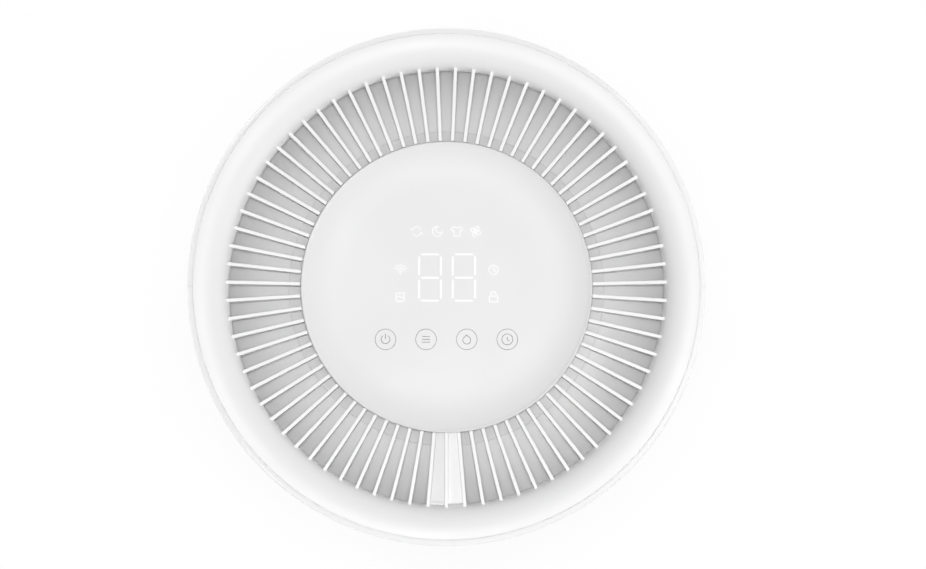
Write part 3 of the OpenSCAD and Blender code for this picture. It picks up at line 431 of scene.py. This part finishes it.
def sidePoints(points, half, closed):
    left, right = [], []
    count = len(points)
    for k in range(count):
        before = Vector(points[k - 1]) if closed or k > 0 else None
        here = Vector(points[k])
        after = Vector(points[(k + 1) % count]) if closed or k < count - 1 else None
        pairs = ((before, here), (here, after))
        run = [(b - a).normalized() for a, b in pairs if a is not None and b is not None]
        mean = run[0] + run[-1]
        out = leftOf(mean.normalized() if mean.length > strokeShape["still"] else run[0])
        reach = half / max(strokeShape["tightest"], out.dot(leftOf(run[0])))
        left.append(here + out * reach)
        right.append(here - out * reach)
    return left, right


def addCaps(points, half, left, right):  # half round ends
    for tip, toward, front in ((0, 1, True), (len(points) - 1, len(points) - 2, False)):
        away = (Vector(points[tip]) - Vector(points[toward])).normalized()
        side = leftOf(away) * (-1 if front else 1)
        for along, across in strokeShape["capSteps"]:
            middle = Vector(points[tip]) + away * half * along
            place = 0 if front else len(left)
            left.insert(place, middle + side * half * across)
            right.insert(place, middle - side * half * across)


def addStroke(mesh, points, width, closed):
    half, unit = width / 2.0, markSheet["millimetre"]
    low, high = markSheet["top"] - markSheet["sunk"], markSheet["top"] + markSheet["proud"]
    left, right = sidePoints(points, half, closed)
    if not closed:
        addCaps(points, half, left, right)
    rows = []
    for a, b in zip(left, right):
        rows.append([mesh.verts.new((p.x * unit, p.y * unit, z)) for z in (high, low) for p in (a, b)])
    last = len(rows) if closed else len(rows) - 1
    for k in range(last):
        a, b = rows[k], rows[(k + 1) % len(rows)]
        for one, two in ((0, 1), (1, 3), (3, 2), (2, 0)):
            mesh.faces.new((a[one], a[two], b[two], b[one]))
    if not closed:
        for row in (rows[0], rows[-1]):
            mesh.faces.new((row[0], row[1], row[3], row[2]))


def meshPiece(name, mesh, material):
    bmesh.ops.recalc_face_normals(mesh, faces=mesh.faces)
    data = bpy.data.meshes.new(name)
    mesh.to_mesh(data)
    mesh.free()
    data.materials.append(material)
    piece = bpy.data.objects.new(name, data)
    bpy.context.scene.collection.objects.link(piece)
    return piece


def drawMark(name, strokes, width, material):
    mesh = bmesh.new()
    for points, closed in strokes:
        addStroke(mesh, points, width, closed)
    mark = meshPiece(name, mesh, material)
    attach(mark, "body")


litLook = {"color": grey(245), "rough": 0.4, "spread": 0.06, "driftScale": 160.0, "glow": 0.1}


def litFinish():  # white marks with a light behind them
    material, tree, shader = startMaterial("litWhite")
    tone = placeGroup(tree, toneDrift, Color=white, Spread=litLook["spread"], Scale=litLook["driftScale"])
    tree.links.new(tone.outputs["Color"], shader.inputs["Emission Color"])
    shader.inputs["Base Color"].default_value = litLook["color"]
    shader.inputs["Roughness"].default_value = litLook["rough"]
    shader.inputs["Emission Strength"].default_value = litLook["glow"]
    return material


inkGrey = mouldedPlastic("inkGrey", {**panelLook, "color": grey(146), "spread": 0.05, "edge": 0.0001})
litWhite = litFinish()

touchRings = {"x": (-35.3, -11.8, 11.8, 35.3), "y": -30.4, "radius": 6.0, "sides": 64, "line": 0.32,
              "sign": 0.94, "signLine": 0.4}
touchSigns = {
    "power": [line(arcPoints(0, 0.1, 2.7, 129, 411, 32)), line([(0, 0.4), (0, 3.4)])],
    "mode": [line([(-2.3, y), (2.3, y)]) for y in (-1.7, 0.0, 1.7)],
    "drop": [loop([(0, 2.75)] + arcPoints(0, -0.5, 2.4, 35, -215, 24))],
    "timer": [loop(ringPoints(0, 0, 3.35)), line([(-0.05, 1.5), (0.0, 0.1), (1.05, -1.1)])],
}
for (sign, strokes), ringX in zip(touchSigns.items(), touchRings["x"]):
    ring = ringPoints(ringX, touchRings["y"], touchRings["radius"], touchRings["sides"])
    drawMark("touch_ring_" + sign, [loop(ring)], touchRings["line"], inkGrey)
    drawMark("touch_sign_" + sign, moved(strokes, ringX, touchRings["y"], touchRings["sign"]),
             touchRings["signLine"], inkGrey)

digitBars = {"left": (-15.9, -3.2), "right": (3.6, 16.6), "rows": (-7.9, 5.45, 19.0), "line": 0.98, "gap": 1.65}
for side in ("left", "right"):
    x0, x1 = digitBars[side]
    gap = digitBars["gap"]
    bars = [line([(x0 + gap, y), (x1 - gap, y)]) for y in digitBars["rows"]]
    for lowRow, highRow in zip(digitBars["rows"], digitBars["rows"][1:]):
        bars += [line([(x, lowRow + gap), (x, highRow - gap)]) for x in (x0, x1)]
    drawMark("digit_" + side, bars, digitBars["line"], litWhite)

signLine = 0.5
shirt = [(-1.1, 2.6), (-2.2, 2.6), (-3.4, 1.2), (-2.3, 0.2), (-1.8, 0.7), (-1.8, -2.7), (1.8, -2.7), (1.8, 0.7),
         (2.3, 0.2), (3.4, 1.2), (2.2, 2.6), (1.1, 2.6), (0.55, 2.15), (-0.55, 2.15)]
blade = [(0.25, 0.55), (1.5, 1.0), (2.0, 2.2), (1.1, 3.1), (-0.1, 2.4), (-0.2, 1.1)]
fanBlades = []
for quarter in range(4):
    turn = Matrix.Rotation(math.radians(90.0 * quarter), 2)
    fanBlades.append(loop([tuple(turn @ Vector(p)) for p in blade]))
panelSigns = {
    "loop": ((-17.3, 32.3), [
        line(arcPoints(0, 0, 2.7, 25, 165, 16)),
        line(arcPoints(0, 0, 2.7, 205, 345, 16)),
        line([(-3.7, 1.7), (-2.6, 0.6), (-1.5, 1.7)]),
        line([(3.7, -1.7), (2.6, -0.6), (1.5, -1.7)]),
    ]),
    "night": ((-5.3, 32.3), [
        loop(arcPoints(0, 0, 2.9, 80, 370, 28) + arcPoints(1.35, 1.2, 2.1, -25, -215, 16)[1:-1]),
    ]),
    "shirt": ((6.1, 32.3), [loop(shirt)]),
    "fan": ((17.0, 32.3), fanBlades),
    "signal": ((-26.8, 8.0), [
        *(line(arcPoints(0, 0, radius, 35, 145, 14)) for radius in (1.6, 3.1, 4.6)),
        loop(ringPoints(0, 0, 0.3, 10)),
    ]),
    "tank": ((-26.8, -5.9), [
        line([(-2.4, 2.4), (-2.4, -1.7), (-1.7, -2.4), (1.7, -2.4), (2.4, -1.7), (2.4, 2.4)]),
        line([(-2.4, 2.4), (2.4, 2.4)]),
        line([(-2.3, 0.2), (-0.8, 0.6), (0.8, -0.2), (2.3, 0.2)]),
    ]),
    "clock": ((27.3, 10.0), [loop(ringPoints(0, 0, 2.7)), line([(0, 1.5), (0, 0), (1.1, -0.9)])]),
    "lock": ((27.3, -5.9), [
        loop([(-2.5, 0.6), (2.5, 0.6), (2.5, -2.7), (-2.5, -2.7)]),
        line([(-1.5, 0.6), (-1.5, 1.7)] + arcPoints(0, 1.7, 1.5, 180, 0, 12)[1:] + [(1.5, 0.6)]),
    ]),
}
for sign, ((signX, signY), strokes) in panelSigns.items():
    drawMark("lit_sign_" + sign, moved(strokes, signX, signY), signLine, litWhite)
print("panel marks drawn")


# pale strip that lies in the seam between the rim and the housing
seamStrip = {"inner": 0.14628, "outer": 0.14664, "top": 0.59928, "tall": 0.001, "round": 0.0001, "steps": 360}


def turnStrip():
    inner, outer, top, edge = (seamStrip[key] for key in ("inner", "outer", "top", "round"))
    low = top - seamStrip["tall"]
    profile = [(inner, low), (outer, low), (outer, top - edge),
               (outer - edge, top), (inner + edge, top), (inner, top - edge)]
    mesh = bmesh.new()
    rows = []
    for k in range(seamStrip["steps"]):
        turn = math.tau * k / seamStrip["steps"]
        rows.append([mesh.verts.new((r * math.cos(turn), r * math.sin(turn), z)) for r, z in profile])
    for here, after in zip(rows, rows[1:] + rows[:1]):
        for k in range(len(profile)):
            mesh.faces.new((here[k], after[k], after[k - 1], here[k - 1]))
    strip = meshPiece("seam_strip", mesh, finishes["white_shell"])
    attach(strip, "body")


turnStrip()
print("seam strip laid")


# stage: white floor that keeps a faint shadow, even surround, a lamp overhead, one from the right, four low ones
stageLook = {"floor": 30.0, "paint": grey(238), "glow": 1.03, "seen": 0.9, "surround": 0.21,
             "middle": (0.0, 0.0, 0.58), "bounces": 16}
lampLooks = {
    "overheadLamp": {"kind": "AREA", "power": 20.8, "size": 0.22, "away": 2.0, "turn": -90.0, "rise": 87.7},
    "sideLamp": {"kind": "POINT", "power": 34.5, "size": 0.7, "away": 2.0, "turn": -26.0, "rise": 35.0},
}
# the low ones stand just below the rim, and the strongest ones away from the side lamp
fillLamps = {"kind": "POINT", "size": 0.24, "away": 2.0, "rise": -1.5}
fillPowers = {45.0: 35.0, 135.0: 52.0, 225.0: 46.0, 315.0: 24.0}


def seenDirectly(tree):  # rays that should meet the white background
    path = addNode(tree, "LightPath")
    first = mathNode(tree, "MAXIMUM", path.outputs["Is Camera Ray"], path.outputs["Is Glossy Ray"])
    return mathNode(tree, "MAXIMUM", first, path.outputs["Is Transmission Ray"])


def setSurround():
    world = bpy.data.worlds.new("softSurround")
    tree, end = emptyTree(world, "OutputWorld")
    glow = addNode(tree, "Background", {"Color": white})
    level = rangeNode(tree, seenDirectly(tree), 0.0, 1.0, stageLook["surround"], 1.0)
    tree.links.new(level, glow.inputs["Strength"])
    tree.links.new(glow.outputs[0], end.inputs[0])
    bpy.context.scene.world = world


def layFloor():
    half = stageLook["floor"]
    corners = [(-half, -half, 0), (half, -half, 0), (half, half, 0), (-half, half, 0)]
    data = bpy.data.meshes.new("floor")
    data.from_pydata(corners, [], [(0, 1, 2, 3)])
    floor = bpy.data.objects.new("floor", data)
    bpy.context.scene.collection.objects.link(floor)
    paint = bpy.data.materials.new("floorPaint")
    tree, end = emptyTree(paint, "OutputMaterial")
    matt = addNode(tree, "BsdfDiffuse", {"Color": stageLook["paint"]})
    glow = addNode(tree, "Emission", {"Color": white, "Strength": stageLook["glow"]})
    mix = addNode(tree, "MixShader")
    tree.links.new(mathNode(tree, "MULTIPLY", seenDirectly(tree), stageLook["seen"]), mix.inputs[0])
    tree.links.new(matt.outputs[0], mix.inputs[1])
    tree.links.new(glow.outputs[0], mix.inputs[2])
    tree.links.new(mix.outputs[0], end.inputs[0])
    data.materials.append(paint)


def setRendering():
    scene = bpy.context.scene
    scene.view_settings.view_transform = "Standard"
    scene.cycles.max_bounces = stageLook["bounces"]
    scene.cycles.diffuse_bounces = stageLook["bounces"]  # light gets down between the white ribs


def hangLamp(name, look):
    data = bpy.data.lights.new(name, look["kind"])
    data.energy = look["power"]
    if look["kind"] == "AREA":
        data.shape = "DISK"
        data.size = look["size"]
    else:  # a ball, which lights the floor evenly all round it
        data.shadow_soft_size = look["size"] / 2.0
    lamp = bpy.data.objects.new(name, data)
    turn, rise = math.radians(look["turn"]), math.radians(look["rise"])
    toward = Vector((math.cos(rise) * math.cos(turn), math.cos(rise) * math.sin(turn), math.sin(rise)))
    lamp.location = Vector(stageLook["middle"]) + toward * look["away"]
    lamp.rotation_mode = "QUATERNION"
    lamp.rotation_quaternion = (-toward).to_track_quat("-Z", "Y")
    lamp.visible_camera = False
    bpy.context.scene.collection.objects.link(lamp)


setRendering()
setSurround()
layFloor()
for lampName, lampLook in lampLooks.items():
    hangLamp(lampName, lampLook)
for fillTurn, fillPower in fillPowers.items():
    hangLamp("fillLamp%03d" % fillTurn, {**fillLamps, "turn": fillTurn, "power": fillPower})
print("stage and lights set")
